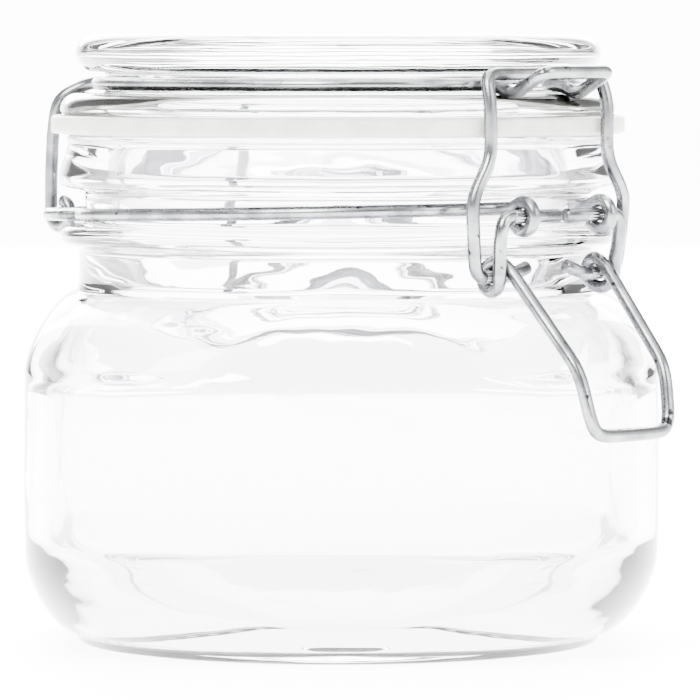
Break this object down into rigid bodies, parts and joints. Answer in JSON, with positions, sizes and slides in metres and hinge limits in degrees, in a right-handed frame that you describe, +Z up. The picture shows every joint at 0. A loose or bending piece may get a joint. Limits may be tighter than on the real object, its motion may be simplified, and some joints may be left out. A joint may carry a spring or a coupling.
{
  "type": "lidded glass canister",
  "caption": "Square glass storage jar with a round neck, a flat glass lid, a soft seal and a wire clip closure.",
  "frame": {"origin": "centre of the foot, in the plane that the jar stands on", "axes": "+Z up through the mouth, the clasp on the -Y side, the hinge on the +Y side, pivots along X"},
  "size_m": [0.1222, 0.1266, 0.1007],
  "materials": {
    "glass": "clear polished",
    "rubber": "translucent off-white",
    "wire": "bright zinc"
  },
  "bodies": {
    "jar": {"jar": "glass", "neck_ring": "wire"},
    "lid": {"lid": "glass", "seal": "rubber", "lid_ring": "wire"},
    "lever": {"lever": "wire"},
    "bail": {"bail": "wire"}
  },
  "joints": [
    {"name": "lid_hinge", "type": "hinge", "parent": "jar", "child": "lid", "pos_m": [0, 0.0456, 0.0705], "axis": [-1, 0, 0], "range_deg": [0, 105]},
    {"name": "lever_swing", "type": "hinge", "parent": "jar", "child": "lever", "pos_m": [0, -0.0496, 0.0716], "axis": [-1, 0, 0], "range_deg": [0, 85]},
    {"name": "bail_swing", "type": "hinge", "parent": "lever", "child": "bail", "pos_m": [0, -0.0463, 0.062], "axis": [-1, 0, 0], "range_deg": [-61, 0]}
  ],
  "couplings": [
    {"joint": "bail_swing", "follows": "lever_swing", "ratio": -0.71}
  ]
}
